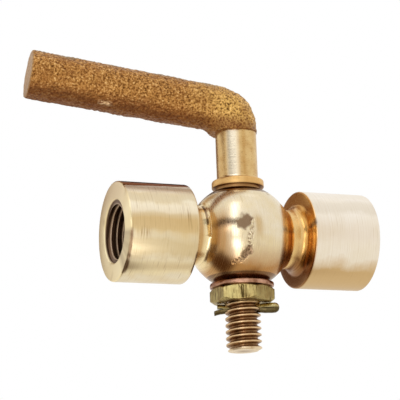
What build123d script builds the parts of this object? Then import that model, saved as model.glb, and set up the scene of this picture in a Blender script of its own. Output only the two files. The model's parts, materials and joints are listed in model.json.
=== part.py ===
from build123d import *
import os
from math import acos, cos, pi, radians, sin, sqrt, tan

# Gauge cock in millimetres: X runs along the pipe from the inlet mouth, Z up the stem

# Valve body, turned from one casting
body_length = 57.5
boss_diameter = 21.4
boss_length = 15.4
boss_edge = 0.35
neck_diameter = 13.0
neck_fillet = 0.8
neck_fillet_share = 0.4
ball_diameter = 23.0
ball_top = 10.2
ball_bottom = 10.2
spot_margin = 0.5

# Pipe ports, 1/4 inch pipe thread at its major diameter, and the waterway between them
port_diameter = 13.16
port_depth = 12.0
port_chamfer = 0.4
drill_angle = 118.0
waterway_diameter = 5.0

# Tapered seat and plug, the taper is the change of diameter per length
seat_taper = 0.088
seat_clearance = 0.03
tail_clearance = 0.13
plug_recess = 0.6

# Stem with its collar
collar_diameter = 11.4
collar_thickness = 1.6
collar_gap = 0.7
collar_round = 0.4
stem_diameter = 9.0
stem_length = 10.7
stem_fillet = 0.7
ledge_margin = 0.05

# Cast lever: a leg that stands a little off the stem, an elbow and a round bar
leg_diameter = 10.4
leg_offset = 0.45
lever_diameter = 10.2
lever_tip_diameter = 10.56
lever_length = 46.5
lever_rise = 8.1
lever_angle = 6.0
lever_end_round = 0.35
elbow_inner_radius = 2.2
elbow_swell = 1.0
elbow_lead = 2.0
elbow_sections = 6

# Threaded tail, 5/16 inch coarse thread over its rounded crests
tail_diameter = 7.7
tail_length = 14.7
tail_chamfer = 0.5

# Washer, nut and split pin
washer_diameter = 13.8
washer_thickness = 1.0
washer_clearance = 0.2
washer_chamfer = 0.2
nut_across_flats = 12.2
nut_thickness = 3.3
nut_clearance = 0.05
nut_chamfer_angle = 30.0
nut_chamfer_inset = 0.1
nut_corner_angle = 33.0
pin_wire = 0.9
pin_split = 0.1
pin_clearance = 0.1
pin_drop = 0.12
pin_angle = -22.0
pin_eye_height = 0.35
pin_eye_length = 2.1
pin_eye_rounding = 0.9
pin_leg_length = 2.2
pin_leg_spread = 0.12
pin_bend_radius = 1.4

# Places along the pipe and up the stem
plug_x = body_length / 2
washer_top = -ball_bottom
nut_top = washer_top - washer_thickness
nut_bottom = nut_top - nut_thickness
pin_diameter = 2 * pin_wire + pin_split
pin_hole_diameter = pin_diameter + 2 * pin_clearance
pin_half_split = pin_split / 2
eye_half = pin_eye_height / 2
eye_round = pin_eye_rounding * eye_half
pin_reach = pin_wire + max(eye_half, pin_half_split + pin_leg_spread)
pin_height = nut_bottom - pin_drop - pin_reach
tail_end = -ball_bottom - tail_length
collar_under = ball_top + collar_gap
collar_top = collar_under + collar_thickness
shoulder_height = collar_top + stem_length
stem_axis = Axis((plug_x, 0, 0), (0, 0, 1))
level = Plane((plug_x, 0, 0), x_dir=(1, 0, 0), z_dir=(0, 0, 1))
upright = Plane((plug_x, 0, 0), x_dir=(1, 0, 0), z_dir=(0, -1, 0))


def seat_radius(height):
    bottom_radius = tail_diameter / 2 + tail_clearance
    return bottom_radius + (height + ball_bottom) * seat_taper / 2


os.makedirs("parts", exist_ok=True)

# Body: half of the section is turned about the pipe axis and mirrored
boss_radius = boss_diameter / 2
neck_radius = neck_diameter / 2
ball_radius = ball_diameter / 2
port_radius = port_diameter / 2
waterway_radius = waterway_diameter / 2
spot_radius = max(washer_diameter, collar_diameter) / 2 + spot_margin
ball_start = plug_x - sqrt(ball_radius**2 - neck_radius**2)
neck_round = min(neck_fillet, neck_fillet_share * (ball_start - boss_length))
drill_end = port_depth + (port_radius - waterway_radius) / tan(radians(drill_angle / 2))
ball_turn = acos(neck_radius / ball_radius)
ball_middle = (plug_x - ball_radius * sin(ball_turn / 2), ball_radius * cos(ball_turn / 2))

with BuildPart() as valve_body:
    with BuildSketch(Plane.XY) as half_section:
        with BuildLine():
            outline = Polyline(
                (plug_x, waterway_radius),
                (drill_end, waterway_radius),
                (port_depth, port_radius),
                (port_chamfer, port_radius),
                (0, port_radius + port_chamfer),
                (0, boss_radius - boss_edge),
                (boss_edge, boss_radius),
                (boss_length - boss_edge, boss_radius),
                (boss_length, boss_radius - boss_edge),
                (boss_length, neck_radius),
                (ball_start, neck_radius),
            )
            ThreePointArc(outline @ 1, ball_middle, (plug_x, ball_radius))
            Line((plug_x, ball_radius), outline @ 0)
        make_face()
        for neck_end in (boss_length, ball_start):
            corner = half_section.vertices().sort_by_distance((neck_end, neck_radius))[0]
            fillet(corner, radius=neck_round)
    revolve(axis=Axis.X)
    mirror(about=Plane.YZ.offset(plug_x))
    with Locations((plug_x, 0, ball_top)):
        Cylinder(
            spot_radius,
            ball_radius,
            align=(Align.CENTER, Align.CENTER, Align.MIN),
            mode=Mode.SUBTRACT,
        )
    with Locations((plug_x, 0, -ball_bottom)):
        Cylinder(
            spot_radius,
            ball_radius,
            align=(Align.CENTER, Align.CENTER, Align.MAX),
            mode=Mode.SUBTRACT,
        )
    for height in (-ball_radius, ball_radius):
        with BuildSketch(level.offset(height)):
            Circle(seat_radius(height))
    loft(ruled=True, mode=Mode.SUBTRACT)

valve_body.part.label = "valve_body"
export_step(valve_body.part, "parts/valve_body.step")

# Lever: sections fan round the inside of the elbow, from the leg to the bar
lever_radius = lever_diameter / 2
tip_radius = lever_tip_diameter / 2
leg_radius = leg_diameter / 2
rise = radians(lever_rise)
swing = radians(lever_angle)
bend = Plane((plug_x, 0, 0), x_dir=(-cos(swing), sin(swing), 0), z_dir=(sin(swing), cos(swing), 0))
lever_height = shoulder_height + lever_radius
pivot_out = leg_offset + leg_radius + elbow_inner_radius
pivot_drop = (lever_radius + elbow_inner_radius) / cos(rise)
pivot_height = lever_height + pivot_out * tan(rise) - pivot_drop
elbow_turn = pi / 2 - rise


def bend_point(out, height):
    return bend.from_local_coords((out, height, 0))


def bend_direction(angle):
    tip = bend_point(cos(angle), sin(angle))
    return tip - bend_point(0, 0)


def elbow_section(share):
    # share is 0 at the leg and 1 at the bar
    angle = pi - share * elbow_turn
    across = leg_radius + share * (lever_radius - leg_radius)
    along = across + elbow_swell / 2 * sin(pi * share) ** 2
    reach = elbow_inner_radius + along
    centre = bend_point(pivot_out + reach * cos(angle), pivot_height + reach * sin(angle))
    plane = Plane(centre, x_dir=bend_direction(angle), z_dir=bend_direction(angle - pi / 2))
    return plane, along, across


leg_plane = elbow_section(0)[0]
bar_plane = elbow_section(1)[0]
bar_start = pivot_out + (elbow_inner_radius + lever_radius) * cos(pi / 2 + rise)
bar_length = lever_length - bar_start / cos(rise)
bar_growth = (tip_radius - lever_radius) / bar_length

with BuildPart() as plug_lever:
    with BuildSketch(leg_plane.offset(-elbow_lead)):
        Circle(leg_radius)
    for step in range(elbow_sections + 1):
        plane, along, across = elbow_section(step / elbow_sections)
        with BuildSketch(plane):
            Ellipse(along, across)
    with BuildSketch(bar_plane.offset(elbow_lead)):
        Circle(lever_radius + bar_growth * elbow_lead)
    loft()
    with BuildSketch(bar_plane.offset(elbow_lead)):
        Circle(lever_radius + bar_growth * elbow_lead)
    tip_plane = bar_plane.offset(bar_length)
    with BuildSketch(tip_plane):
        Circle(tip_radius)
    loft(ruled=True)
    end_edge = plug_lever.edges().filter_by(GeomType.CIRCLE).sort_by_distance(tip_plane.origin)[0]
    fillet(end_edge, lever_end_round)
    split(bisect_by=Plane.XY.offset(shoulder_height), keep=Keep.TOP)

    # Stem, collar, tapered plug and tail are turned in one go
    plug_bottom = plug_recess - ball_bottom
    stem_radius = stem_diameter / 2
    collar_radius = collar_diameter / 2
    tail_radius = tail_diameter / 2
    # Both rounds have to fit on the ledge between stem and collar rim
    ledge_share = min(1, (collar_radius - stem_radius) / (collar_round + stem_fillet + ledge_margin))
    with BuildSketch(upright) as stem_section:
        with BuildLine():
            Polyline(
                (0, tail_end),
                (tail_radius - tail_chamfer, tail_end),
                (tail_radius, tail_end + tail_chamfer),
                (tail_radius, plug_bottom),
                (seat_radius(plug_bottom) - seat_clearance, plug_bottom),
                (seat_radius(collar_under) - seat_clearance, collar_under),
                (collar_radius, collar_under),
                (collar_radius, collar_top),
                (stem_radius, collar_top),
                (stem_radius, shoulder_height),
                (0, shoulder_height),
                close=True,
            )
        make_face()
        collar_corner = stem_section.vertices().sort_by_distance((collar_radius, collar_top))[0]
        fillet(collar_corner, radius=ledge_share * collar_round)
        stem_corner = stem_section.vertices().sort_by_distance((stem_radius, collar_top))[0]
        fillet(stem_corner, radius=ledge_share * stem_fillet)
    revolve(axis=stem_axis)

    # Port across the plug, in line with the waterway when the cock is open
    with BuildSketch(Plane.YZ.offset(plug_x)):
        Circle(waterway_radius)
    extrude(amount=seat_radius(collar_under), both=True, mode=Mode.SUBTRACT)

    # Hole for the split pin
    pin_turn = radians(pin_angle)
    pin_along = (cos(pin_turn), sin(pin_turn), 0)
    with BuildSketch(Plane((plug_x, 0, pin_height), x_dir=(0, 0, 1), z_dir=pin_along)):
        Circle(pin_hole_diameter / 2)
    extrude(amount=tail_diameter, both=True, mode=Mode.SUBTRACT)

plug_lever.part.label = "plug_lever"
export_step(plug_lever.part, "parts/plug_lever.step")

# Washer under the ball
with BuildPart() as washer:
    with BuildSketch(level.offset(washer_top)):
        Circle(washer_diameter / 2)
        Circle(tail_diameter / 2 + washer_clearance, mode=Mode.SUBTRACT)
    extrude(amount=-washer_thickness)
    rim_edges = washer.edges().filter_by(GeomType.CIRCLE).group_by(SortBy.RADIUS)[-1]
    chamfer(rim_edges, washer_chamfer)

washer.part.label = "washer"
export_step(washer.part, "parts/washer.step")

# Hexagon nut, its corners turned off at both ends
nut_corner_radius = nut_across_flats / 2 / cos(pi / 6)
nut_face_radius = nut_across_flats / 2 - nut_chamfer_inset
nut_corner_drop = (nut_corner_radius - nut_face_radius) * tan(radians(nut_chamfer_angle))

with BuildPart() as nut:
    with BuildSketch(level.offset(nut_top)):
        RegularPolygon(nut_corner_radius, side_count=6, rotation=nut_corner_angle)
        Circle(tail_diameter / 2 + nut_clearance, mode=Mode.SUBTRACT)
    extrude(amount=-nut_thickness)
    with BuildSketch(upright):
        with BuildLine():
            Polyline(
                (0, nut_bottom),
                (nut_face_radius, nut_bottom),
                (nut_corner_radius, nut_bottom + nut_corner_drop),
                (nut_corner_radius, nut_top - nut_corner_drop),
                (nut_face_radius, nut_top),
                (0, nut_top),
                close=True,
            )
        make_face()
    revolve(axis=stem_axis, mode=Mode.INTERSECT)

nut.part.label = "nut"
export_step(nut.part, "parts/nut.step")

# Split pin: half-round wire folded to an eye, its legs opened beyond the tail
pin_plane = Plane(
    (plug_x, 0, pin_height),
    x_dir=pin_along,
    z_dir=(sin(pin_turn), -cos(pin_turn), 0),
)
eye_start = tail_diameter / 2 + pin_clearance
eye_end = eye_start + pin_wire + pin_eye_length
leg_bend = -tail_diameter / 2 - pin_clearance
leg_end = leg_bend - pin_leg_length

with BuildPart() as split_pin:
    with BuildLine(pin_plane) as pin_line:
        FilletPolyline(
            (leg_end, pin_half_split + pin_leg_spread),
            (leg_bend, pin_half_split),
            (eye_start, pin_half_split),
            (eye_start + pin_wire, eye_half),
            (eye_end, eye_half),
            (eye_end, -eye_half),
            (eye_start + pin_wire, -eye_half),
            (eye_start, -pin_half_split),
            (leg_bend, -pin_half_split),
            (leg_end, -pin_half_split - pin_leg_spread),
            radius=[
                pin_bend_radius,
                pin_bend_radius,
                pin_bend_radius,
                eye_round,
                eye_round,
                pin_bend_radius,
                pin_bend_radius,
                pin_bend_radius,
            ],
        )
    leg_start = pin_line.wires()[0]
    outward = Vector(pin_plane.z_dir).cross(leg_start % 0)
    with BuildSketch(Plane(leg_start @ 0, x_dir=outward, z_dir=leg_start % 0)):
        Circle(pin_wire)
        Rectangle(pin_wire, 2 * pin_wire, align=(Align.MIN, Align.CENTER), mode=Mode.INTERSECT)
    sweep(path=leg_start)

split_pin.part.label = "split_pin"
export_step(split_pin.part, "parts/split_pin.step")
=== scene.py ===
import bpy
import bmesh
import json
from math import atan2, cos, hypot, pi, radians, sin, sqrt, tan
from mathutils import Matrix, Quaternion, Vector, noise
from mathutils.geometry import intersect_point_line

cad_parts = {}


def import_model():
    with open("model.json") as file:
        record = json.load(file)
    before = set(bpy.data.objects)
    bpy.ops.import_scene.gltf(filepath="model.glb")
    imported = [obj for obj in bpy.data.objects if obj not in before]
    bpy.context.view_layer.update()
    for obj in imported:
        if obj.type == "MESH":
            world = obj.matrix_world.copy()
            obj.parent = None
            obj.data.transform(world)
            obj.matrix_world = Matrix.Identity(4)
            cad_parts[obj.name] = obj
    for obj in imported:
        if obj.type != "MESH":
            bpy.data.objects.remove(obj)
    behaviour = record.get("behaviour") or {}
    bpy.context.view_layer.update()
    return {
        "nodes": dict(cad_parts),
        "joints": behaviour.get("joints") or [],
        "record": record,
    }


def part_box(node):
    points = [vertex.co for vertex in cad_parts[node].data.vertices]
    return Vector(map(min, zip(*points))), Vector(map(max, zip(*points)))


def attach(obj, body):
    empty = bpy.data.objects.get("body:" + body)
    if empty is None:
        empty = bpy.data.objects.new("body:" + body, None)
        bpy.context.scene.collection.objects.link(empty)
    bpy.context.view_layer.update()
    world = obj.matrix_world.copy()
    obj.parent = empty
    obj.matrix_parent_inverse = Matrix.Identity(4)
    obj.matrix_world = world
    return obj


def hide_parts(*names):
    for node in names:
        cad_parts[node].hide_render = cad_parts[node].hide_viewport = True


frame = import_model()

mm = 0.001
weldDistance = 0.001 * mm
scene = bpy.context.scene

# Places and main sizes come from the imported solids
bodyLow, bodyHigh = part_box("valve_body")
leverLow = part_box("plug_lever")[0]
washerLow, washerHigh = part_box("washer")
nutLow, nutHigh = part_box("nut")
pinLow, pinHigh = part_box("split_pin")
plugX = frame["joints"][0]["pos_m"][0]
halfLength = (bodyHigh.x - bodyLow.x) / 2
bossRadius = (bodyHigh.z - bodyLow.z) / 2
ballRadius = (bodyHigh.y - bodyLow.y) / 2
flatHeight = -washerHigh.z
portRadius = frame["record"]["mounts"][0]["dims"]["r_mm"] * mm
axisX = Vector((1, 0, 0))
axisZ = Vector((0, 0, 1))
print("stage 1: frame loaded, plug axis at x", plugX)


# Mesh helpers
def allOf(bm):
    return bm.verts[:] + bm.edges[:] + bm.faces[:]


def addPath(bm, points, closed=False):
    verts = [bm.verts.new(point) for point in points]
    for pair in zip(verts, verts[1:] + verts[:1] if closed else verts[1:]):
        bm.edges.new(pair)
    return verts


def roundCorners(bm, verts, size, segments):
    bmesh.ops.bevel(
        bm, geom=verts, offset=size, offset_type="OFFSET", segments=segments,
        profile=0.5, affect="VERTICES", material=-1,
    )


def arcFrom(bm, vert, centre, turn, steps):
    made = bmesh.ops.spin(bm, geom=[vert], cent=centre, axis=axisZ, angle=turn, steps=steps)
    return made["geom_last"][0]


# A profile is turned about an axis through the origin and moved to the plug
def turnProfile(bm, axis, steps):
    bmesh.ops.spin(
        bm, geom=allOf(bm), cent=(0, 0, 0), axis=axis, angle=2 * pi, steps=steps, use_merge=True,
    )
    closeMesh(bm)
    moveTo(bm, (plugX, 0, 0))


def closeMesh(bm):
    bmesh.ops.remove_doubles(bm, verts=bm.verts, dist=weldDistance)
    bmesh.ops.recalc_face_normals(bm, faces=bm.faces)


def moveTo(bm, place):
    bmesh.ops.translate(bm, verts=bm.verts, vec=place)


def makeObject(bm, name):
    mesh = bpy.data.meshes.new(name)
    bm.to_mesh(mesh)
    bm.free()
    piece = bpy.data.objects.new(name, mesh)
    scene.collection.objects.link(piece)
    return piece


def openMesh(piece):
    bm = bmesh.new()
    bm.from_mesh(piece.data)
    return bm


def storeMesh(bm, piece):
    bm.to_mesh(piece.data)
    bm.free()


def bakeModifiers(piece):
    depsgraph = bpy.context.evaluated_depsgraph_get()
    made = bpy.data.meshes.new_from_object(piece.evaluated_get(depsgraph))
    piece.modifiers.clear()
    old = piece.data
    piece.data = made
    made.name = piece.name
    bpy.data.meshes.remove(old)


def cutWith(piece, cutter, operation="DIFFERENCE"):
    step = piece.modifiers.new("cut", "BOOLEAN")
    step.object = cutter
    step.operation = operation
    step.solver = "EXACT"
    bakeModifiers(piece)
    bpy.data.objects.remove(cutter)


def remesh(piece, voxel):
    step = piece.modifiers.new("remesh", "REMESH")
    step.mode = "VOXEL"
    step.voxel_size = voxel
    bakeModifiers(piece)


def displace(piece, amount, smoothing=0):
    bm = openMesh(piece)
    for _ in range(smoothing):
        bmesh.ops.smooth_vert(
            bm, verts=bm.verts, factor=0.5, use_axis_x=True, use_axis_y=True, use_axis_z=True,
        )
    bm.normal_update()
    moves = [vert.normal * amount(vert.co / mm, vert.normal) * mm for vert in bm.verts]
    for vert, move in zip(bm.verts, moves):
        vert.co += move
    storeMesh(bm, piece)


def finishPiece(piece, material, body, node, sharpAngle):
    mesh = piece.data
    mesh.materials.clear()
    mesh.materials.append(material)
    mesh.shade_smooth()
    mesh.set_sharp_from_angle(angle=radians(sharpAngle))
    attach(piece, body)
    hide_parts(node)
    print("   piece", piece.name, len(mesh.polygons), "faces")


# Material helpers
def addNode(tree, kind, inputs=None, **settings):
    node = tree.nodes.new("ShaderNode" + kind)
    for key, value in settings.items():
        setattr(node, key, value)
    for key, value in (inputs or {}).items():
        if isinstance(value, bpy.types.NodeSocket):
            tree.links.new(value, node.inputs[key])
        else:
            node.inputs[key].default_value = value
    return node


def objectPlace(tree):
    return addNode(tree, "TexCoord").outputs["Object"]


def newMaterial(name):
    material = bpy.data.materials.new(name)
    material.use_nodes = True
    tree = material.node_tree
    return material, tree, tree.nodes["Principled BSDF"]


def startMetal(name):
    material, tree, shader = newMaterial(name)
    shader.inputs["Metallic"].default_value = 1.0
    return material, tree, shader, objectPlace(tree)


def mapped(tree, place, location=(0, 0, 0), scale=(1, 1, 1)):
    inputs = {"Vector": place, "Location": location, "Scale": scale}
    return addNode(tree, "Mapping", inputs).outputs["Vector"]


def axesOf(tree, place):
    return addNode(tree, "SeparateXYZ", {"Vector": place}).outputs


def lengthOf(tree, vector):
    return addNode(tree, "VectorMath", {0: vector}, operation="LENGTH").outputs["Value"]


def dotWith(tree, vector, direction):
    inputs = {0: vector, 1: direction}
    return addNode(tree, "VectorMath", inputs, operation="DOT_PRODUCT").outputs["Value"]


def noiseAt(tree, place, scale, detail=2.0, roughness=0.5):
    inputs = {"Vector": place, "Scale": scale, "Detail": detail, "Roughness": roughness}
    return addNode(tree, "TexNoise", inputs).outputs["Fac"]


def latheLines(tree, along):
    inputs = {"W": along, "Scale": 4.2, "Detail": 3.0, "Roughness": 0.7}
    return addNode(tree, "TexNoise", inputs, noise_dimensions="1D").outputs["Fac"]


def calc(tree, operation, first, second=0.0):
    return addNode(tree, "Math", {0: first, 1: second}, operation=operation).outputs["Value"]


def plus(tree, first, second):
    return calc(tree, "ADD", first, second)


def minus(tree, first, second):
    return calc(tree, "SUBTRACT", first, second)


def times(tree, first, second):
    return calc(tree, "MULTIPLY", first, second)


def angleOf(tree, up, across):
    return times(tree, calc(tree, "ARCTAN2", up, across), 180 / pi)


def millimetresFrom(tree, place, centre):
    return mapped(tree, place, [-part / mm for part in centre], [1 / mm] * 3)


def ranged(tree, value, low, high, toLow=0.0, toHigh=1.0):
    inputs = {"Value": value, "From Min": low, "From Max": high, "To Min": toLow, "To Max": toHigh}
    return addNode(tree, "MapRange", inputs).outputs["Result"]


def mixColour(tree, factor, first, second):
    node = addNode(tree, "Mix", data_type="RGBA")
    # These are the factor and the two colours of the node's many sockets
    for index, value in ((0, factor), (6, first), (7, second)):
        if isinstance(value, bpy.types.NodeSocket):
            tree.links.new(value, node.inputs[index])
        else:
            node.inputs[index].default_value = value if index == 0 else (*value, 1.0)
    return node.outputs[2]


# A term of a mask names a measure and says where the change begins, where it is complete, what share it
# comes to and, if it goes both ways from a middle, that middle
def masked(tree, seen, *terms):
    mask = None
    for name, low, high, share, *middle in terms:
        value = calc(tree, "ABSOLUTE", minus(tree, seen[name], *middle)) if middle else seen[name]
        step = ranged(tree, value, low, high, 0.0, share)
        mask = step if mask is None else times(tree, mask, step)
    return mask


# A layer is a colour and the terms of its mask
def layered(tree, seen, colour, layers):
    for tint, *terms in layers:
        colour = mixColour(tree, masked(tree, seen, *terms), colour, tint)
    return colour


def finishMaterial(tree, shader, colour, roughness, height, strength, depth):
    tree.links.new(colour, shader.inputs["Base Color"])
    tree.links.new(roughness, shader.inputs["Roughness"])
    inputs = {"Strength": strength, "Distance": depth, "Height": height}
    tree.links.new(addNode(tree, "Bump", inputs).outputs["Normal"], shader.inputs["Normal"])


# Camera, placed as the photograph was taken: from below and left of the front
cameraSettings = {
    "target": (0.01976, 0.0, 0.00787),
    "distance": 0.3591,
    "azimuth": 21.73,
    "elevation": -13.4,
    "roll": -2.02,
    "lens": 149.4,
    "sensor": 36.0,
    "nearClip": 0.01,
}


def placeCamera(settings):
    data = bpy.data.cameras.new("photoCamera")
    camera = bpy.data.objects.new("photoCamera", data)
    scene.collection.objects.link(camera)
    turn, lift = radians(settings["azimuth"]), radians(settings["elevation"])
    look = Vector((sin(turn) * cos(lift), cos(turn) * cos(lift), -sin(lift)))
    camera.location = Vector(settings["target"]) - look * settings["distance"]
    camera.rotation_mode = "QUATERNION"
    roll = Quaternion(axisZ, radians(settings["roll"]))
    camera.rotation_quaternion = look.to_track_quat("-Z", "Y") @ roll
    data.lens = settings["lens"]
    data.sensor_width = settings["sensor"]
    data.clip_start = settings["nearClip"]
    scene.camera = camera


placeCamera(cameraSettings)
scene.view_settings.view_transform = "Standard"
print("stage 2: camera placed")


# Finishes: measures are in mm from the plug axis or the pipe axis, and angles in degrees above the front
turnedLook = {
    "cloud": (150.0, 4.0, 0.6),
    "wavy": (0.3, 0.7, -1.0, 1.0),
    "wavyHeight": 1.2,
    "wavyTurn": 5,
    # The left boss carries painted reflections: lighter and darker bands by angle round it and a dark
    # streak of painted reflection along its top; its front face is palest below
    "leftBoss": (0.86, 0.77, 0.58),
    "leftBossLayers": (
        ((0.8, 0.66, 0.42), ("cloud", 0.4, 0.64, 1)),
        ((0.97, 0.88, 0.7), ("uneven", 10, 4, 0.8, 50)),
        ((0.72, 0.6, 0.4), ("uneven", 9, 3.6, 0.7, 33)),
        ((0.95, 0.85, 0.66), ("uneven", 9, 3.6, 0.8, 18)),
        ((0.76, 0.57, 0.28), ("uneven", 16, 6.4, 0.8, -3)),
        ((0.68, 0.54, 0.31), ("uneven", 16, 6.4, 0.8, -29)),
        ((0.97, 0.84, 0.54), ("uneven", 14, 5.6, 0.9, -56)),
        ((0.15, 0.042, 0.022), ("streak", 0, 1, 1)),
    ),
    # The painted dark reflection along the top begins at an angle that changes along the boss
    "paintedReflectionStart": (-28.7, -14.5, 51.5, 56),
    "streak": (("pastStart", 0, 2.5, 1), ("turn", 92, 80, 0.97), ("fromWall", -0.3, -0.1, 1)),
    "face": (0.8, 0.62, 0.37),
    "faceLayers": (((0.99, 0.84, 0.5), ("z", 8, 3, 1)),),
    "onFace": ("x", -28.3, -28.6, 0.8),
    # The right boss is painted palest, as painted light, with painted shade on its golden lower side and a
    # darker band of painted reflection
    "rightBoss": (0.93, 0.86, 0.76),
    "rightBossLayers": (
        ((0.9, 0.82, 0.69), ("cloud", 0.4, 0.64, 1)),
        ((0.66, 0.46, 0.23), ("height", -5.2, -8.2, 1)),
        ((0.8, 0.72, 0.6), ("uneven", 13, 5.2, 0.9, 33)),
    ),
    # The ball is buffed; painted shade darkens its lower part and a painted brown reflection lies on its
    # left, and the necks and the ground round washer and collar take painted highlights and painted crease
    # shade
    "ball": (0.83, 0.73, 0.55),
    "ballLayers": (
        ((0.79, 0.66, 0.43), ("cloud", 0.4, 0.64, 1)),
        ((0.45, 0.22, 0.07), ("height", -3.0, -8.0, 1)),
        ((0.52, 0.29, 0.115), ("x", -5.4, -7.2, 0.95), ("uneven", 36, 12, 1)),
    ),
    # Painted highlight on the left neck, with painted shade where it meets the boss
    "leftNeck": (0.94, 0.77, 0.46),
    "leftNeckLayers": (((0.58, 0.36, 0.15), ("x", -10.4, -11.2, 1)),),
    # The right neck is painted dark as crease shade by the ball, with a band of painted highlight and a
    # painted orange reflection towards the boss
    "rightNeck": (0.44, 0.2, 0.055),
    "rightNeckLayers": (
        ((0.82, 0.56, 0.24), ("x", 9.3, 9.9, 1)),
        ((0.72, 0.38, 0.1), ("x", 11.6, 12.6, 1)),
    ),
    "inNeck": ("toNeck", 8.0, 9.1, 1),
    "nearFlat": ("fromAxis", 8.6, 10.0, 1),
    # Painted shade fills the pockets of washer and collar, and painted shade darkens the lower side of the
    # right neck by the boss
    "paintedShadeLayers": (
        ((0.14, 0.06, 0.025), ("aside", 7.5, 7.4, 1), ("fromAxis", 8.4, 8.6, 0.9)),
        ((0.2, 0.065, 0.015), ("x", 10.4, 11.6, 0.9), ("height", -1.5, -5.0, 1)),
    ),
    "onBoss": ("fromPlug", 13.45, 13.75, 1),
    # Lathe lines, scratches round the bosses, two patches of chatter on the left boss, and the flaws
    "scratchScale": (3600, 230, 230),
    "scratchShares": (0.35, 0.12),
    "chatterScale": (3400, 110, 110),
    "markLayers": (
        ((0.56, 0.38, 0.16), ("lines", 0.35, 0.7, 0.2)),
        ((0.42, 0.28, 0.12), ("scratch", 0.62, 0.74, 1), ("scratchShare", 0, 1, 1)),
        ((0.36, 0.2, 0.07), ("chatter", 0.5, 0.64, 1), ("x", 1.6, 0.8, 1, -16.4), ("turn", 20, 0, 0.7, 9)),
        ((0.36, 0.2, 0.07), ("chatter", 0.5, 0.64, 1), ("x", 2.0, 1.0, 1, -25.5), ("turn", 9, 0, 0.7, -13)),
        ((0.22, 0.13, 0.07), ("flaw", 0, 1, 1)),
    ),
    # Painted shade darkens the ports inside, and painted glints lighten the crests of the thread
    "port": (0.16, 0.09, 0.05),
    "portLayers": (((0.5, 0.36, 0.24), ("fromPort", -0.45, -0.75, 1)),),
    "inPort": (("fromPort", 0.25, 0.05, 1), ("fromPlug", 13.7, 14.2, 1)),
    "rough": (0.25, 0.75, 0.2, 0.3),
    "bossRough": 0.08,
    "portRough": 0.1,
    # The painted dark reflection is glossy, and its specular tint keeps it dark where it is seen edge on
    "paintedReflectionGloss": (0.0, 0.85, 1.0, 0.3),
    "paintedReflectionTint": (0.55, 0.4, 0.36),
    "bump": (0.16, 0.02 * mm),
}


def turnedBrass(look):
    material, tree, shader, place = startMetal("turnedBrass")
    centred = millimetresFrom(tree, place, (plugX, 0, 0))
    axes = axesOf(tree, centred)
    lines = latheLines(tree, axes["X"])
    onRight = ranged(tree, axes["X"], -1, 1)
    fromPlug = calc(tree, "ABSOLUTE", axes["X"])
    radius = lengthOf(tree, mapped(tree, centred, scale=(0, 1, 1)))
    turn = angleOf(tree, axes["Z"], times(tree, axes["Y"], -1.0))
    cloud = noiseAt(tree, place, *look["cloud"])
    wavy = ranged(tree, cloud, *look["wavy"])
    seen = {
        "x": axes["X"],
        "z": axes["Z"],
        "fromPlug": fromPlug,
        "fromAxis": calc(tree, "ABSOLUTE", axes["Z"]),
        "toNeck": plus(tree, fromPlug, onRight),
        "aside": lengthOf(tree, mapped(tree, centred, scale=(1, 1, 0))),
        "fromWall": minus(tree, radius, bossRadius / mm),
        "fromPort": minus(tree, radius, portRadius / mm),
        "height": plus(tree, axes["Z"], times(tree, wavy, look["wavyHeight"])),
        "turn": turn,
        "uneven": plus(tree, turn, times(tree, wavy, look["wavyTurn"])),
        "pastStart": minus(tree, turn, ranged(tree, axes["X"], *look["paintedReflectionStart"])),
        "cloud": cloud,
        "lines": lines,
        "scratch": noiseAt(tree, mapped(tree, place, scale=look["scratchScale"]), 1.0, 1.0),
        "scratchShare": ranged(tree, onRight, 0.0, 1.0, *look["scratchShares"]),
        "chatter": noiseAt(tree, mapped(tree, place, scale=look["chatterScale"]), 1.0, 2.0),
        "flaw": addNode(tree, "Attribute", attribute_name="flaw").outputs["Fac"],
    }
    seen["streak"] = masked(tree, seen, *look["streak"])
    part = {
        name: layered(tree, seen, look[name], look[name + "Layers"])
        for name in ("leftBoss", "face", "rightBoss", "ball", "leftNeck", "rightNeck", "port")
    }
    leftBoss = mixColour(tree, masked(tree, seen, look["onFace"]), part["leftBoss"], part["face"])
    turned = mixColour(tree, onRight, leftBoss, part["rightBoss"])
    neck = mixColour(tree, onRight, part["leftNeck"], part["rightNeck"])
    # In the necks and near the flats of washer and collar the ball takes the neck colours, with their
    # painted highlights and painted crease shade
    inNeck, nearFlat = masked(tree, seen, look["inNeck"]), masked(tree, seen, look["nearFlat"])
    crevice = calc(tree, "MAXIMUM", inNeck, nearFlat)
    polished = mixColour(tree, crevice, part["ball"], neck)
    polished = layered(tree, seen, polished, look["paintedShadeLayers"])
    onBoss = masked(tree, seen, look["onBoss"])
    inPort = masked(tree, seen, *look["inPort"])
    colour = mixColour(tree, onBoss, polished, turned)
    colour = layered(tree, seen, colour, look["markLayers"])
    colour = mixColour(tree, inPort, colour, part["port"])
    rough = ranged(tree, lines, *look["rough"])
    rough = plus(tree, rough, times(tree, onBoss, look["bossRough"]))
    rough = plus(tree, rough, times(tree, inPort, look["portRough"]))
    # The painted dark reflection on the left boss gets less roughness and a darker specular tint
    leftPaintedReflection = minus(tree, seen["streak"], onRight)
    rough = times(tree, rough, ranged(tree, leftPaintedReflection, *look["paintedReflectionGloss"]))
    sheen = mixColour(tree, leftPaintedReflection, (1.0, 1.0, 1.0), look["paintedReflectionTint"])
    tree.links.new(sheen, shader.inputs["Specular Tint"])
    finishMaterial(tree, shader, colour, rough, lines, *look["bump"])
    return material


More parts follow.
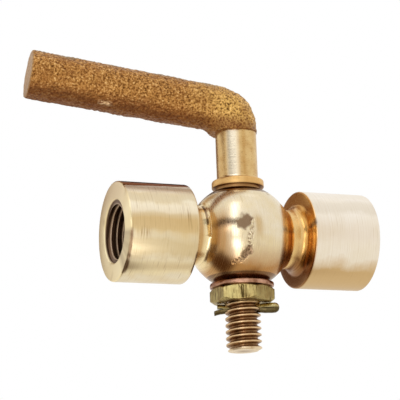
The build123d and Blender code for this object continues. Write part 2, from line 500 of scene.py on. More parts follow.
stemLook = {
    "cloud": (420.0, 5.0, 0.6),
    "speck": (2600.0, 2.0),
    "onCollar": ("fromCollar", 0.2, 0.0, 1),
    # A painted highlight runs up one side, the collar is redder, and painted shade lies in the gap under it
    "base": (0.72, 0.5, 0.22),
    "layers": (
        ((0.6, 0.37, 0.14), ("cloud", 0.38, 0.66, 1)),
        ((0.36, 0.2, 0.07), ("speck", 0.62, 0.7, 0.5)),
        ((0.94, 0.82, 0.6), ("turn", 22, 8, 0.95, -33), ("onCollar", 1, 0, 1)),
        ((0.86, 0.5, 0.17), ("onCollar", 0, 1, 0.5)),
        ((0.32, 0.16, 0.06), ("fromUnder", 0.3, 0.0, 0.8)),
    ),
    "rough": (0.25, 0.75, 0.24, 0.36),
    "collarRough": 0.12,
    "bump": (0.08, 0.02 * mm),
}


def stemBrass(look, collarUnder, collarTop):
    material, tree, shader, place = startMetal("stemBrass")
    axes = axesOf(tree, millimetresFrom(tree, place, (plugX, 0, 0)))
    lines = latheLines(tree, axes["Z"])
    seen = {
        "turn": angleOf(tree, axes["X"], times(tree, axes["Y"], -1.0)),
        "fromCollar": minus(tree, axes["Z"], collarTop / mm),
        "fromUnder": minus(tree, axes["Z"], collarUnder / mm),
        "cloud": noiseAt(tree, place, *look["cloud"]),
        "speck": noiseAt(tree, place, *look["speck"]),
    }
    seen["onCollar"] = masked(tree, seen, look["onCollar"])
    colour = layered(tree, seen, look["base"], look["layers"])
    rough = ranged(tree, lines, *look["rough"])
    rough = plus(tree, rough, times(tree, seen["onCollar"], look["collarRough"]))
    finishMaterial(tree, shader, colour, rough, lines, *look["bump"])
    return material


castLook = {
    "grain": (2200.0, 5.0, 0.7),
    "patch": (260.0, 4.0, 0.6),
    "ragged": (0.3, 0.7, -1.0, 1.0),
    # Golden skin at the elbow, browner along the bar, with dark hollows, bright worn grains and dark
    # patches; painted shade darkens the underside to a red brown, the top is greyer, and there are filed
    # flash and a paler sawn end
    "base": (0.84, 0.5, 0.14),
    "layers": (
        ((0.54, 0.26, 0.07), ("along", 3, 13, 1)),
        ((0.11, 0.038, 0.01), ("grain", 0.54, 0.38, 1)),
        ((0.95, 0.64, 0.28), ("grain", 0.56, 0.68, 1)),
        ((0.28, 0.1, 0.025), ("patch", 0.42, 0.7, 0.5)),
        ((0.18, 0.055, 0.02), ("ragged", -2.0, -4.2, 0.66)),
        ((0.34, 0.27, 0.15), ("ragged", 4.1, 5.2, 0.6)),
        ((0.9, 0.64, 0.36), ("flash", 0, 1, 1), ("grain", 0.4, 0.56, 1)),
        ((0.46, 0.28, 0.13), ("fromEnd", -0.35, -0.05, 0.75)),
    ),
    "flashTurn": (9, 1, 0.9),
    "flashEase": 0.8,
    "rough": (0.3, 0.7, 0.55, 0.34),
    "bump": (0.9, 0.15 * mm),
}


def castBrass(look, lever):
    material, tree, shader, place = startMetal("castBrass")
    offset = millimetresFrom(tree, place, lever["start"])
    along, aside, above = (dotWith(tree, offset, axis) for axis in leverFrame(lever))
    patch = noiseAt(tree, place, *look["patch"])
    seen = {
        "along": along,
        "fromEnd": minus(tree, along, lever["length"] / mm),
        "ragged": plus(tree, above, ranged(tree, patch, *look["ragged"])),
        "turn": angleOf(tree, above, aside),
        "patch": patch,
        "grain": noiseAt(tree, place, *look["grain"]),
    }
    low, high, middle = lever["flash"][:3]
    ends = (("along", low, low + look["flashEase"], 1), ("along", high, high - look["flashEase"], 1))
    seen["flash"] = masked(tree, seen, ("turn", *look["flashTurn"], middle), *ends)
    colour = layered(tree, seen, look["base"], look["layers"])
    rough = ranged(tree, seen["grain"], *look["rough"])
    finishMaterial(tree, shader, colour, rough, seen["grain"], *look["bump"])
    return material


bronzeLook = {
    "cloud": (700.0, 4.0, 0.6),
    "grain": (3000.0, 3.0),
    "base": (0.36, 0.2, 0.09),
    "layers": (
        ((0.2, 0.105, 0.045), ("cloud", 0.36, 0.66, 1)),
        ((0.72, 0.5, 0.27), ("crest", 0.75, 1.0, 1)),
    ),
    # The chamfered end is bare metal with a darker middle
    "end": (0.5, 0.34, 0.2),
    "endLayers": (((0.92, 0.76, 0.52), ("radius", 0.6, 2.4, 1)),),
    "atEnd": ("fromEnd", 0.9, 0.4, 0.85),
    "rough": (0.3, 0.7, 0.28, 0.42),
    "bump": (0.15, 0.03 * mm),
}


def threadBronze(look, rootRadius, crestRadius, endHeight):
    material, tree, shader, place = startMetal("threadBronze")
    centred = millimetresFrom(tree, place, (plugX, 0, 0))
    radius = lengthOf(tree, mapped(tree, centred, scale=(1, 1, 0)))
    seen = {
        "radius": radius,
        "crest": ranged(tree, radius, rootRadius / mm, crestRadius / mm),
        "fromEnd": minus(tree, axesOf(tree, centred)["Z"], endHeight / mm),
        "cloud": noiseAt(tree, place, *look["cloud"]),
    }
    colour = layered(tree, seen, look["base"], look["layers"])
    end = layered(tree, seen, look["end"], look["endLayers"])
    colour = mixColour(tree, masked(tree, seen, look["atEnd"]), colour, end)
    grain = noiseAt(tree, place, *look["grain"])
    finishMaterial(tree, shader, colour, ranged(tree, grain, *look["rough"]), grain, *look["bump"])
    return material


copperLook = {
    "cloud": (420.0, 4.0, 0.6),
    "grain": (1800.0, 3.0),
    "stretch": (1, 1, 3),
    "base": (0.66, 0.38, 0.25),
    "layers": (((0.26, 0.12, 0.07), ("cloud", 0.36, 0.66, 1)),),
    "rough": (0.3, 0.7, 0.25, 0.42),
    "bump": (0.3, 0.03 * mm),
}
# File marks run up and down the flats of the nut
nutLook = {
    "cloud": (300.0, 4.0, 0.6),
    "grain": (2400.0, 3.0, 0.65),
    "stretch": (1, 1, 0.16),
    "base": (0.5, 0.41, 0.165),
    "layers": (
        ((0.31, 0.215, 0.075), ("cloud", 0.36, 0.66, 1)),
        ((0.13, 0.08, 0.025), ("grain", 0.54, 0.66, 0.85)),
    ),
    "rough": (0.3, 0.7, 0.26, 0.45),
    "bump": (0.4, 0.05 * mm),
}
# Painted shade darkens the lower strand of the pin
pinLook = {
    "cloud": (600.0, 4.0, 0.6),
    "grain": (2800.0, 3.0),
    "stretch": (1, 1, 1),
    "base": (0.64, 0.54, 0.26),
    "layers": (
        ((0.36, 0.26, 0.09), ("cloud", 0.36, 0.66, 1)),
        ((0.06, 0.04, 0.015), ("fromMiddle", 0.35, -0.05, 0.9)),
    ),
    "rough": (0.3, 0.7, 0.26, 0.42),
    "bump": (0.25, 0.03 * mm),
}


def smallMetal(name, look, middle=0.0):
    material, tree, shader, place = startMetal(name)
    grain = noiseAt(tree, mapped(tree, place, scale=look["stretch"]), *look["grain"])
    seen = {
        "fromMiddle": axesOf(tree, millimetresFrom(tree, place, (plugX, 0, middle)))["Z"],
        "cloud": noiseAt(tree, place, *look["cloud"]),
        "grain": grain,
    }
    colour = layered(tree, seen, look["base"], look["layers"])
    finishMaterial(tree, shader, colour, ranged(tree, grain, *look["rough"]), grain, *look["bump"])
    return material


# Valve body: half of the section is drawn, mirrored and turned about the pipe axis
bodyShape = {
    "bossLength": 15.4 * mm,
    "rimRound": 0.35 * mm,
    "neckRadius": 6.5 * mm,
    "neckFillet": 1.9 * mm,
    "ballFillet": 1.5 * mm,
    "portDepth": 12.0 * mm,
    "mouthChamfer": 0.4 * mm,
    "drillAngle": 118,
    "waterwayRadius": 2.5 * mm,
    "spotRadius": 7.4 * mm,
    "seatBottom": 3.98 * mm,
    "seatTop": 4.878 * mm,
    "seatSteps": 128,
    "ballSteps": 40,
    "filletSteps": 8,
    "turnSteps": 224,
    "rimRows": (0.6 * mm, 0.9 * mm),
    "skinTolerance": 0.05 * mm,
    # How far the finer mesh reaches round a flaw, in widths, and how often its edges are cut
    "routeReach": 2.2,
    "dentReach": 1.3,
    "fineCuts": 3,
    "stainLimit": 0.92,
    # Flaws on the ball: distance along the pipe in mm, angle above the front, radius, depth and stain
    "dents": (
        (-3.4, 5.4, 1.8, 0.07, 0.9), (-2.7, 8.2, 1.3, 0.06, 0.9), (-3.8, 1.8, 1.3, 0.05, 0.7),
        (-2.3, -26.0, 1.2, 0.14, 1.3), (-3.0, -30.0, 1.1, 0.1, 1.2), (4.0, 50.0, 0.5, 0.12, 0.6),
    ),
    # A trail of pits leads down from the first dent: along, angle and half width
    "pitTrail": (
        (-1.9, 7.0, 0.6), (-1.7, 0.0, 0.6), (-2.1, -8.0, 0.8), (-2.3, -14.0, 0.85), (-2.0, -20.0, 0.6),
        (-2.4, -26.5, 0.9), (-2.9, -32.0, 0.85), (-3.5, -37.6, 0.8), (-4.8, -43.0, 0.7),
    ),
    # A stain runs left from the first dent, just over the front: along, angle and half width
    "smear": ((-4.0, 6.0, 0.7), (-5.6, 6.2, 0.8), (-7.2, 6.0, 1.6), (-8.6, 5.0, 1.3)),
    "smearStain": 0.75,
    "pitSize": 0.4 * mm,
    "pitDepth": 0.22 * mm,
    "pitStain": 0.55,
    # Scars on the turned edges: along, half width, first and last angle, depth
    "scars": (
        (-28.4, 0.42, -68, -6, 0.2),
        (-13.5, 0.4, -62, -30, 0.16),
        (13.45, 0.35, 4, 16, 0.22),
        (-9.85, 0.3, 8, 62, 0.16),
    ),
    "scarEase": 6,
    "scarWave": 5,
    "scarStain": 1.6,
    "scarLimit": 0.9,
}


def buildBody(shape):
    neck, fillet = shape["neckRadius"], shape["ballFillet"]
    mouth, bossEnd = -halfLength, shape["bossLength"] - halfLength
    cone = (portRadius - shape["waterwayRadius"]) / tan(radians(shape["drillAngle"] / 2))
    filletX = -sqrt((ballRadius + fillet) ** 2 - (neck + fillet) ** 2)
    bm = bmesh.new()
    path = addPath(bm, (
        (0, shape["waterwayRadius"], 0),
        (mouth + shape["portDepth"] + cone, shape["waterwayRadius"], 0),
        (mouth + shape["portDepth"], portRadius, 0),
        (mouth + shape["mouthChamfer"], portRadius, 0),
        (mouth, portRadius + shape["mouthChamfer"], 0),
        (mouth, bossRadius, 0),
        *[(mouth + row, bossRadius, 0) for row in shape["rimRows"]],
        *[(bossEnd - row, bossRadius, 0) for row in reversed(shape["rimRows"])],
        (bossEnd, bossRadius, 0),
        (bossEnd, neck, 0),
        (filletX, neck, 0),
    ))
    swing = atan2(-filletX, neck + fillet)
    ballFoot = arcFrom(bm, path[-1], (filletX, neck + fillet, 0), swing, shape["filletSteps"])
    arcFrom(bm, ballFoot, (0, 0, 0), -swing, shape["ballSteps"])
    roundCorners(bm, [path[5], path[-3]], shape["rimRound"], 3)
    roundCorners(bm, [path[-2]], shape["neckFillet"], 9)
    bmesh.ops.mirror(bm, geom=allOf(bm), matrix=Matrix(), merge_dist=weldDistance, axis="X")
    turnProfile(bm, axisX, shape["turnSteps"])
    piece = makeObject(bm, "valveBody")
    cutWith(piece, seatCutter(shape))
    wearBody(piece, shape)
    return piece


def onBall(along, lift):
    across = sqrt(ballRadius ** 2 - (along * mm) ** 2)
    return Vector((plugX + along * mm, -across * cos(radians(lift)), across * sin(radians(lift))))


def shareAlong(point, route):
    best = 0
    for (first, firstWidth), (last, lastWidth) in zip(route, route[1:]):
        share = min(1, max(0, intersect_point_line(point, first, last)[1]))
        away = (point - first.lerp(last, share)).length
        best = max(best, 1 - away / (firstWidth + share * (lastWidth - firstWidth)))
    return best


def wearBall(vert, inward, stain, shape, trail, smear, dents):
    place = vert.co.copy()
    rough = noise.noise(place / shape["pitSize"]) + 0.5 * noise.noise(place * 2.3 / shape["pitSize"])
    share = min(1, 2 * shareAlong(place, trail))
    sink = shape["pitDepth"] * share * max(0, rough + 0.05)
    dark = shape["pitStain"] * share * min(1, max(0, 0.4 + 1.6 * rough))
    dark += shape["smearStain"] * shareAlong(place, smear) * (1 + 0.6 * rough)
    # The outlines of the dents are ragged
    wave = noise.noise(place / mm) + 0.25 * noise.noise(place / (0.4 * mm))
    for spot, radius, depth, tone in dents:
        away = (place - spot).length / (radius * (1 + 0.45 * wave))
        if away < 1:
            sink += depth * (1 - away ** 2) ** 2
            dark += tone * (1 - away ** 2)
    vert.co += inward * sink
    vert[stain] = min(shape["stainLimit"], dark)


def scarEdges(vert, outward, stain, shape):
    turn = atan2(outward.z, -outward.y) * 180 / pi
    for along, width, low, high, depth in shape["scars"]:
        away = abs(outward.x / mm - along) / width
        if away < 1 and low < turn < high:
            ragged = 0.8 + 0.4 * noise.noise(Vector((turn / shape["scarWave"], along, 0)))
            ease = min(1, (turn - low) / shape["scarEase"], (high - turn) / shape["scarEase"])
            share = (1 - away ** 2) * ease * ragged
            vert.co.y -= outward.y / outward.yz.length * depth * mm * share
            vert.co.z -= outward.z / outward.yz.length * depth * mm * share
            vert[stain] = max(vert[stain], min(shape["scarLimit"], shape["scarStain"] * share))


def wearBody(piece, shape):
    bm = openMesh(piece)
    stain = bm.verts.layers.float.new("flaw")
    middle = Vector((plugX, 0, 0))
    trail = [(onBall(along, lift), width * mm) for along, lift, width in shape["pitTrail"]]
    smear = [(onBall(along, lift), width * mm) for along, lift, width in shape["smear"]]
    dents = [(onBall(*dent[:2]), dent[2] * mm, dent[3] * mm, dent[4]) for dent in shape["dents"]]
    # Flawed ground gets a finer mesh, laid back onto the ball
    grounds = [(spot, shape["routeReach"] * width) for spot, width in trail + smear]
    grounds += [(dent[0], shape["dentReach"] * dent[1]) for dent in dents]
    near = [
        edge for edge in bm.edges
        if any(all((vert.co - spot).length < far for vert in edge.verts) for spot, far in grounds)
    ]
    fine = bmesh.ops.subdivide_edges(bm, edges=near, cuts=shape["fineCuts"], use_grid_fill=True)
    for vert in (item for item in fine["geom_inner"] if isinstance(item, bmesh.types.BMVert)):
        vert.co = middle + (vert.co - middle).normalized() * ballRadius
    for vert in bm.verts:
        outward = vert.co - middle
        if abs(outward.length - ballRadius) < shape["skinTolerance"]:
            wearBall(vert, -outward.normalized(), stain, shape, trail, smear, dents)
        scarEdges(vert, outward, stain, shape)
    storeMesh(bm, piece)


def seatCutter(shape):
    clear = 2 * ballRadius
    bm = bmesh.new()
    addPath(bm, (
        (0, 0, clear),
        (shape["spotRadius"], 0, clear),
        (shape["spotRadius"], 0, flatHeight),
        (shape["seatTop"], 0, flatHeight),
        (shape["seatBottom"], 0, -flatHeight),
        (shape["spotRadius"], 0, -flatHeight),
        (shape["spotRadius"], 0, -clear),
        (0, 0, -clear),
    ))
    turnProfile(bm, axisZ, shape["seatSteps"])
    return makeObject(bm, "seatCutter")


bodyFinish = turnedBrass(turnedLook)
valveBody = buildBody(bodyShape)
finishPiece(valveBody, bodyFinish, "body", "valve_body", 32)
print("stage 3: valve body turned")


# Pipe threads, one helical ridge in each port
portThreadShape = {
    "pitch": 1.337 * mm,
    "height": 0.8 * mm,
    "crestWidth": 0.2 * mm,
    "baseWidth": 1.16 * mm,
    "rootInset": 0.12 * mm,
    "crestRound": 0.08 * mm,
    "start": 0.45 * mm,
    "turns": 8,
    "stepsPerTurn": 96,
}


def buildPortThread(shape):
    base, crest = shape["baseWidth"] / 2, shape["crestWidth"] / 2
    wall, tip = portRadius + shape["rootInset"], portRadius - shape["height"]
    bm = bmesh.new()
    corners = ((-base, wall, 0), (-crest, tip, 0), (crest, tip, 0), (base, wall, 0))
    section = addPath(bm, corners, closed=True)
    roundCorners(bm, section[1:3], shape["crestRound"], 2)
    bmesh.ops.contextual_create(bm, geom=bm.edges[:])
    steps = shape["turns"] * shape["stepsPerTurn"]
    bmesh.ops.spin(
        bm, geom=allOf(bm), cent=(0, 0, 0), axis=axisX,
        dvec=axisX * shape["pitch"] / shape["stepsPerTurn"], angle=2 * pi * shape["turns"], steps=steps,
    )
    # The first turn is cut off square at the mouth
    bmesh.ops.bisect_plane(
        bm, geom=allOf(bm), plane_co=axisX * shape["start"], plane_no=axisX, clear_inner=True,
    )
    bmesh.ops.holes_fill(bm, edges=bm.edges[:], sides=0)
    closeMesh(bm)
    moveTo(bm, (bodyLow.x, 0, 0))
    # A half turn about the stem keeps the thread right-handed in the other port
    copy = bmesh.ops.duplicate(bm, geom=allOf(bm))["geom"]
    moved = [item for item in copy if isinstance(item, bmesh.types.BMVert)]
    bmesh.ops.rotate(bm, verts=moved, cent=(plugX, 0, 0), matrix=Matrix.Rotation(pi, 3, "Z"))
    return makeObject(bm, "portThread")


portThread = buildPortThread(portThreadShape)
finishPiece(portThread, bodyFinish, "body", "valve_body", 40)
print("stage 4: port threads cut")


# Stem, collar and tapered plug, turned about the stem axis
stemShape = {
    "collarRadius": 5.7 * mm,
    "collarUnder": 10.9 * mm,
    "collarTop": 12.5 * mm,
    "collarRound": 0.4 * mm,
    "collarEdge": 0.15 * mm,
    "stemRadius": 4.5 * mm,
    "stemFillet": 0.7 * mm,
    "shoulder": 23.2 * mm,
    "bury": 0.4 * mm,
    "plugTop": 4.878 * mm,
    "plugBottom": 3.976 * mm,
    "plugEnd": -9.6 * mm,
    "portRadius": 2.5 * mm,
    "portSteps": 64,
    "turnSteps": 160,
}


def buildStem(shape):
    top = shape["shoulder"] + shape["bury"]
    bm = bmesh.new()
    path = addPath(bm, (
        (0, 0, top),
        (shape["stemRadius"], 0, top),
        (shape["stemRadius"], 0, shape["collarTop"]),
        (shape["collarRadius"], 0, shape["collarTop"]),
        (shape["collarRadius"], 0, shape["collarUnder"]),
        (shape["plugTop"], 0, shape["collarUnder"]),
        (shape["plugBottom"], 0, shape["plugEnd"]),
        (0, 0, shape["plugEnd"]),
    ))
    roundCorners(bm, path[2:3], shape["stemFillet"], 5)
    roundCorners(bm, path[3:4], shape["collarRound"], 4)
    roundCorners(bm, path[4:5], shape["collarEdge"], 2)
    turnProfile(bm, axisZ, shape["turnSteps"])
    piece = makeObject(bm, "turnedStem")
    bm = bmesh.new()
    across = Matrix.Translation((plugX, 0, 0)) @ Matrix.Rotation(pi / 2, 4, "Y")
    bmesh.ops.create_cone(
        bm, cap_ends=True, segments=shape["portSteps"], radius1=shape["portRadius"],
        radius2=shape["portRadius"], depth=4 * shape["plugTop"], matrix=across,
    )
    cutWith(piece, makeObject(bm, "portCutter"))
    return piece


turnedStem = buildStem(stemShape)
stemFinish = stemBrass(stemLook, stemShape["collarUnder"], stemShape["collarTop"])
finishPiece(turnedStem, stemFinish, "plug", "plug_lever", 32)
print("stage 5: stem and plug turned")


# Threaded tail: one pitch of the thread is swept up a helix, cut to length and closed
tailShape = {
    "pitch": 1.411 * mm,
    "crestRadius": 3.85 * mm,
    "depth": 0.86 * mm,
    "chamfer": 0.45 * mm,
    "top": -9.6 * mm,
    "stepsPerTurn": 72,
    # Share of the pitch and of the thread's depth, with rounded root and crest
    "form": ((0, 0), (0.1, 0.06), (0.36, 0.9), (0.43, 1.0), (0.57, 1.0), (0.64, 0.9), (0.9, 0.06), (1, 0)),
}


def buildTail(shape):
    end = leverLow.z
    root = shape["crestRadius"] - shape["depth"]
    turns = int((shape["top"] - end) / shape["pitch"]) + 4
    bm = bmesh.new()
    form = [(root + rise * shape["depth"], 0, share * shape["pitch"]) for share, rise in shape["form"]]
    addPath(bm, form)
    bmesh.ops.spin(
        bm, geom=allOf(bm), cent=(0, 0, 0), axis=axisZ,
        dvec=axisZ * shape["pitch"] / shape["stepsPerTurn"], angle=2 * pi * turns,
        steps=turns * shape["stepsPerTurn"],
    )
    closeMesh(bm)
    moveTo(bm, (0, 0, end - 2 * shape["pitch"]))
    for height, side in ((end, -1), (end + shape["chamfer"], 0), (shape["top"], 1)):
        bmesh.ops.bisect_plane(
            bm, geom=allOf(bm), plane_co=axisZ * height, plane_no=axisZ,
            clear_inner=side < 0, clear_outer=side > 0,
        )
    bmesh.ops.holes_fill(bm, edges=bm.edges[:], sides=0)
    closeMesh(bm)
    # The end is chamfered
    for vert in bm.verts:
        reach = hypot(vert.co.x, vert.co.y)
        limit = shape["crestRadius"] - shape["chamfer"] + (vert.co.z - end)
        if reach > limit:
            vert.co.x *= limit / reach
            vert.co.y *= limit / reach
    moveTo(bm, (plugX, 0, 0))
    return makeObject(bm, "tailThread")


tailThread = buildTail(tailShape)
tailRoot = tailShape["crestRadius"] - tailShape["depth"]
tailFinish = threadBronze(bronzeLook, tailRoot, tailShape["crestRadius"], leverLow.z)
finishPiece(tailThread, tailFinish, "plug", "plug_lever", 40)
print("stage 6: tail thread cut")


# Cast lever: a copy of the solid above the shoulder, remeshed and given a sand-cast skin
leverShape = {
    "voxel": 0.21 * mm,
    "start": (plugX, 0, 28.3 * mm),
    "rise": 8.1,
    "swing": 6.0,
    "length": 46.5 * mm,
    # Size of the lumps and how far they stand out, in mm
    "skin": ((7.0, 0.12), (2.2, 0.09), (0.5, 0.08)),
    "grainSize": 0.95,
    "grainHeight": 0.22,
    "cutClear": 0.01 * mm,
    "barRadius": 5.2,
    # The sawn end: how squarely it faces along the bar, and the share of the skin it keeps
    "endFacing": 0.9,
    "endShare": 0.4,
    # Pits: place along the bar in mm, angle above the front, radius and depth
    "pits": (
        (39.4, 13.8, 0.6, 0.3), (38.0, 8.9, 0.5, 0.25), (38.8, 4.0, 0.4, 0.2), (42.5, 24.0, 0.45, 0.2),
    ),
    # Flash under the bar: first and last place along it, angle, half width and height
    "flash": (27.8, 31.4, -56.5, 0.3, 0.28),
}


def leverFrame(shape):
    swing, rise = radians(shape["swing"]), radians(shape["rise"])
    along = Vector((-cos(swing) * cos(rise), sin(swing) * cos(rise), sin(rise)))
    side = axisZ.cross(along).normalized()
    return along, side, along.cross(side)


def buildLever(shape):
    along, side, up = leverFrame(shape)
    start = Vector(shape["start"])
    bm = openMesh(frame["nodes"]["plug_lever"])
    bmesh.ops.remove_doubles(bm, verts=bm.verts, dist=weldDistance)
    shoulder = axisZ * (stemShape["shoulder"] + shape["cutClear"])
    bmesh.ops.bisect_plane(bm, geom=allOf(bm), plane_co=shoulder, plane_no=axisZ, clear_inner=True)
    bmesh.ops.holes_fill(bm, edges=bm.edges[:], sides=0)
    bmesh.ops.recalc_face_normals(bm, faces=bm.faces)
    piece = makeObject(bm, "castLever")
    remesh(piece, shape["voxel"])

    def skin(place, normal):
        fromStart = place - start / mm
        reach = fromStart.dot(along)
        turn = atan2(fromStart.dot(up), fromStart.dot(side))
        rise = sum(height * noise.noise(place / size) for size, height in shape["skin"])
        rise += shape["grainHeight"] * (0.5 - noise.voronoi(place / shape["grainSize"])[0][0])
        if abs(normal.dot(along)) > shape["endFacing"] and reach > shape["length"] / mm - 1:
            rise *= shape["endShare"]
        for pitReach, pitTurn, radius, depth in shape["pits"]:
            away = hypot(reach - pitReach, shape["barRadius"] * (turn - radians(pitTurn)))
            if away < radius:
                rise -= depth * (1 - (away / radius) ** 2)
        low, high, flashTurn, width, height = shape["flash"]
        away = abs(shape["barRadius"] * (turn - radians(flashTurn))) / width
        if low < reach < high and away < 1:
            rise += height * (1 - away) * min(1, reach - low, high - reach)
        return rise

    displace(piece, skin, smoothing=1)
    return piece


castLever = buildLever(leverShape)
finishPiece(castLever, castBrass(castLook, leverShape), "plug", "plug_lever", 60)
print("stage 7: lever cast")


# Washer, turned and then knocked a little out of true
washerShape = {
    "holeRadius": 4.05 * mm,
    "rimRound": 0.3 * mm,
    # Size and height of the knocks in mm, and how squarely a flat side faces up or down
    "wobbleSize": 3.0,
    "wobble": 0.12,
    "flatFacing": 0.9,
    "turnSteps": 144,
}


def buildWasher(shape):
    outer = (washerHigh.x - washerLow.x) / 2
    bm = bmesh.new()
    path = addPath(bm, (
        (shape["holeRadius"], 0, washerLow.z),
        (outer, 0, washerLow.z),
        (outer, 0, washerHigh.z),
        (shape["holeRadius"], 0, washerHigh.z),
    ), closed=True)
    roundCorners(bm, path[1:3], shape["rimRound"], 4)
    turnProfile(bm, axisZ, shape["turnSteps"])
    piece = makeObject(bm, "copperWasher")
    centre = Vector((plugX, 0, 0)) / mm

    def knock(place, normal):
        flat = abs(normal.z) > shape["flatFacing"]
        return 0.0 if flat else shape["wobble"] * noise.noise((place - centre) / shape["wobbleSize"])

    displace(piece, knock)
    return piece


copperWasher = buildWasher(washerShape)
finishPiece(copperWasher, smallMetal("wornCopper", copperLook), "plug", "washer", 40)
print("stage 8: washer made")


# Nut: hexagon with turned corners, two seams in its front flat and a filed skin
nutShape = {
    "flats": 12.2 * mm,
    "cornerAngle": 33.0,
    "faceInset": 0.1 * mm,
    "chamferAngle": 30.0,
    "boreRadius": 3.9 * mm,
    "voxel": 0.11 * mm,
    "frontFlat": -117.0,
    # Place along the flat, width and depth in mm
    "seams": ((0.58, 0.42, 0.6), (1.33, 0.22, 0.3)),
    "seamMargin": 0.25 * mm,
    # Height of the file marks, their size, and the size and share of broader lumps, in mm
    "marks": 0.05,
    "markSize": (0.45, 0.45, 2.4),
    "lumpSize": 1.6,
    "lumpShare": 0.6,
    "turnSteps": 144,
}


def buildNut(shape):
    corner = shape["flats"] / 2 / cos(pi / 6)
    face = shape["flats"] / 2 - shape["faceInset"]
    drop = (corner - face) * tan(radians(shape["chamferAngle"]))
    bottom, top = nutLow.z, nutHigh.z
    bm = bmesh.new()
    turn = Matrix.Rotation(radians(shape["cornerAngle"]) + pi / 2, 4, "Z")
    place = Matrix.Translation((plugX, 0, (bottom + top) / 2)) @ turn
    bmesh.ops.create_cone(
        bm, cap_ends=True, segments=6, radius1=corner, radius2=corner, depth=top - bottom, matrix=place,
    )
    piece = makeObject(bm, "hexNut")
    bm = bmesh.new()
    addPath(bm, (
        (shape["boreRadius"], 0, bottom - mm),
        (face, 0, bottom),
        (corner, 0, bottom + drop),
        (corner, 0, top - drop),
        (face, 0, top),
        (shape["boreRadius"], 0, top + mm),
    ), closed=True)
    turnProfile(bm, axisZ, shape["turnSteps"])
    cutWith(piece, makeObject(bm, "nutTurning"), "INTERSECT")
    front = Matrix.Translation((plugX, 0, 0)) @ Matrix.Rotation(radians(shape["frontFlat"]), 4, "Z")
    for along, width, depth in shape["seams"]:
        bm = bmesh.new()
        size = Matrix.Diagonal((2 * depth * mm, width * mm, top - bottom - 2 * shape["seamMargin"], 1))
        spot = Matrix.Translation((shape["flats"] / 2, along * mm, (top + bottom) / 2))
        bmesh.ops.create_cube(bm, size=1, matrix=front @ spot @ size)
        cutWith(piece, makeObject(bm, "seamCutter"))
    remesh(piece, shape["voxel"])

    def file(point, normal):
        streak = Vector([part / size for part, size in zip(point, shape["markSize"])])
        lump = shape["lumpShare"] * noise.noise(point / shape["lumpSize"])
        return shape["marks"] * (noise.noise(streak) + lump)

    displace(piece, file, smoothing=1)
    return piece


hexNut = buildNut(nutShape)
finishPiece(hexNut, smallMetal("nutBrass", nutLook), "plug", "nut", 50)
print("stage 9: nut made")


# Split pin: a copy of the solid with softened edges and legs bent apart by hand
pinShape = {
    "voxel": 0.06 * mm,
    "turn": -22.0,
    "legStart": -4.0 * mm,
    "legReach": 2.2 * mm,
    "lowerBend": 0.3 * mm,
    "upperCut": 0.7 * mm,
    "eyeStart": 4.0 * mm,
    "eyeReach": 0.3 * mm,
    "eyeClose": 0.21 * mm,
    "eyeInner": 0.6 * mm,
    # Height and size of the dents and a swelling that makes good the smoothing, in mm
    "dents": 0.05,
    "dentSize": 1.1,
    "swell": 0.04,
}


def buildPin(shape):
    turn = radians(shape["turn"])
    along = Vector((cos(turn), sin(turn), 0))
    middle = Vector((plugX, 0, (pinLow.z + pinHigh.z) / 2))
    bm = openMesh(frame["nodes"]["split_pin"])
    bmesh.ops.remove_doubles(bm, verts=bm.verts, dist=weldDistance)
    piece = makeObject(bm, "splitPin")
    remesh(piece, shape["voxel"])

    def batter(place, normal):
        return shape["swell"] + shape["dents"] * noise.noise(place / shape["dentSize"])

    displace(piece, batter, smoothing=2)
    bm = openMesh(piece)
    for vert in bm.verts:
        offset = vert.co - middle
        past = max(0, shape["legStart"] - offset.dot(along)) / shape["legReach"]
        if offset.z < 0:
            vert.co.z -= shape["lowerBend"] * past ** 2
        else:
            vert.co += along * shape["upperCut"] * past
        # The strands of the eye are pressed together
        eye = min(1, max(0, offset.dot(along) - shape["eyeStart"]) / shape["eyeReach"])
        inner = max(0, 1 - abs(offset.z) / shape["eyeInner"])
        close = min(abs(offset.z), shape["eyeClose"]) * eye * inner
        vert.co.z -= close if offset.z > 0 else -close
    storeMesh(bm, piece)
    return piece


splitPin = buildPin(pinShape)
pinFinish = smallMetal("pinBrass", pinLook, (pinLow.z + pinHigh.z) / 2)
finishPiece(splitPin, pinFinish, "plug", "split_pin", 50)
print("stage 10: split pin made")


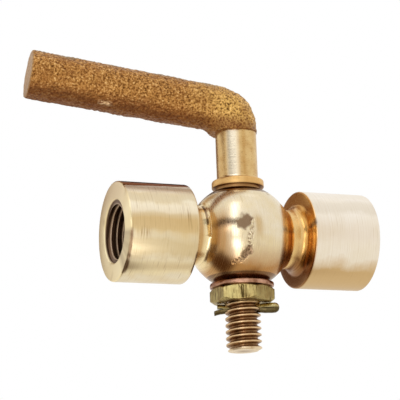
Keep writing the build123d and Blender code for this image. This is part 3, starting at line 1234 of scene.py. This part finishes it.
# Studio: pale floor, white surroundings, lights, and glowing tinted cards that only the metal sees,
# standing in for light and dark surroundings in its reflections
studio = {
    "floorHeight": -0.1,
    "floorSize": 3.0,
    "floorColour": (0.82, 0.8, 0.77),
    "floorShine": (0.96, 0.93, 0.86),
    "floorRough": 0.9,
    "mottle": (40.0, 3.0),
    "mottleRange": (0.3, 0.7),
    "mottleDark": 0.97,
    "ambient": 0.3,
    "lightColour": (0.95, 0.98, 1.08),
    # Name, place, width, height and brightness
    "lights": (
        ("upperStrip", (-0.198, -0.312, 0.46), 0.13, 0.42, 1.6),
        ("midStrip", (-0.385, -0.685, 0.03), 0.18, 0.3, 1.7),
        ("lowerStrip", (-0.052, -0.139, -0.068), 0.045, 0.05, 2.0),
        ("lowStrip", (-0.009, -0.068, -0.067), 0.02, 0.06, 2.2),
        ("topLight", (0.06, -0.25, 0.5), 0.4, 0.3, 0.06),
        ("crownLight", (0.19, 0.0, 0.5), 0.05, 0.2, 0.35),
        ("stemStrip", (-0.62, -0.64, 0.19), 0.26, 0.2, 1.7),
    ),
    # Name, place, width, height, colour and the share that fades out towards the edges
    "cards": (
        ("backCard", (0.0, 0.1, 0.03), 0.055, 0.08, (0.2, 0.09, 0.03), 0.2),
        ("shoulderCard", (0.0, 0.1, 0.115), 0.07, 0.08, (0.42, 0.25, 0.1), 0.5),
        ("frontCard", (0.13, -0.28, 0.075), 0.1, 0.3, (0.72, 0.56, 0.34), 0.5),
        ("ridgeCard", (0.054, 0.1, 0.055), 0.045, 0.06, (0.08, 0.03, 0.015), 0.15),
        ("barCard", (-0.181, -0.176, 0.122), 0.24, 0.06, (0.03, 0.015, 0.01), 0.15),
        ("lowCard", (-0.018, 0.002, -0.06), 0.08, 0.07, (0.12, 0.06, 0.025), 0.4),
        ("footCard", (0.047, -0.007, -0.09), 0.028, 0.08, (0.4, 0.27, 0.16), 0.6),
    ),
}


def showShader(tree, factor, first, second):
    both = addNode(tree, "MixShader", {0: factor, 1: first, 2: second})
    tree.links.new(both.outputs["Shader"], tree.nodes["Material Output"].inputs["Surface"])


def buildFloor(settings):
    bm = bmesh.new()
    bmesh.ops.create_grid(bm, x_segments=1, y_segments=1, size=settings["floorSize"] / 2)
    moveTo(bm, (plugX, 0, settings["floorHeight"]))
    floor = makeObject(bm, "studioFloor")
    material, tree, shader = newMaterial("palePaper")
    mottle = noiseAt(tree, objectPlace(tree), *settings["mottle"])
    mottle = ranged(tree, mottle, *settings["mottleRange"])
    dark = tuple(settings["mottleDark"] * part for part in settings["floorColour"])
    tree.links.new(mixColour(tree, mottle, settings["floorColour"], dark), shader.inputs["Base Color"])
    shader.inputs["Roughness"].default_value = settings["floorRough"]
    # The metal sees the floor as pale paper, and the floor keeps the shadow
    rays = addNode(tree, "LightPath").outputs
    seen = calc(tree, "MAXIMUM", rays["Is Glossy Ray"], rays["Is Transmission Ray"])
    glow = addNode(tree, "Emission", {"Color": (*settings["floorShine"], 1.0)}).outputs["Emission"]
    showShader(tree, seen, shader.outputs["BSDF"], glow)
    floor.data.materials.append(material)


def buildWorld(settings):
    world = bpy.data.worlds.new("studioWorld")
    scene.world = world
    world.use_nodes = True
    tree = world.node_tree
    rays = addNode(tree, "LightPath").outputs
    seen = calc(tree, "MAXIMUM", rays["Is Camera Ray"], rays["Is Glossy Ray"])
    seen = calc(tree, "MAXIMUM", seen, rays["Is Transmission Ray"])
    level = ranged(tree, seen, 0.0, 1.0, settings["ambient"], 1.0)
    background = tree.nodes["Background"]
    background.inputs["Color"].default_value = (1, 1, 1, 1)
    tree.links.new(level, background.inputs["Strength"])


def facing(place):
    away = Vector(place) - Vector(cameraSettings["target"])
    return (-away).to_track_quat("-Z", "Y")


def placeLights(settings):
    for name, place, width, height, brightness in settings["lights"]:
        data = bpy.data.lights.new(name, "AREA")
        data.shape = "RECTANGLE"
        data.size, data.size_y = width, height
        data.energy = brightness * pi * width * height
        data.color = settings["lightColour"]
        lamp = bpy.data.objects.new(name, data)
        scene.collection.objects.link(lamp)
        lamp.location = place
        lamp.rotation_mode = "QUATERNION"
        lamp.rotation_quaternion = facing(place)


def placeCards(settings):
    for name, place, width, height, colour, soft in settings["cards"]:
        bm = bmesh.new()
        bm.loops.layers.uv.new("UVMap")
        bmesh.ops.create_grid(bm, x_segments=1, y_segments=1, size=0.5, calc_uvs=True)
        spot = Matrix.Translation(place) @ facing(place).to_matrix().to_4x4()
        bmesh.ops.transform(bm, matrix=spot @ Matrix.Diagonal((width, height, 1, 1)), verts=bm.verts)
        card = makeObject(bm, name)
        material, tree, shader = newMaterial(name)
        tree.nodes.remove(shader)
        glow = addNode(tree, "Emission", {"Color": (*colour, 1.0)}).outputs["Emission"]
        centred = mapped(tree, addNode(tree, "TexCoord").outputs["UV"], location=(-0.5, -0.5, 0))
        sides = addNode(tree, "VectorMath", {0: centred}, operation="ABSOLUTE").outputs["Vector"]
        axes = axesOf(tree, sides)
        edge = ranged(tree, calc(tree, "MAXIMUM", axes["X"], axes["Y"]), 0.5, 0.5 - 0.5 * soft)
        showShader(tree, edge, addNode(tree, "BsdfTransparent").outputs["BSDF"], glow)
        card.data.materials.append(material)
        card.visible_camera = False
        card.visible_diffuse = False
        card.visible_shadow = False


buildFloor(studio)
buildWorld(studio)
placeLights(studio)
placeCards(studio)
print("stage 11: studio set")
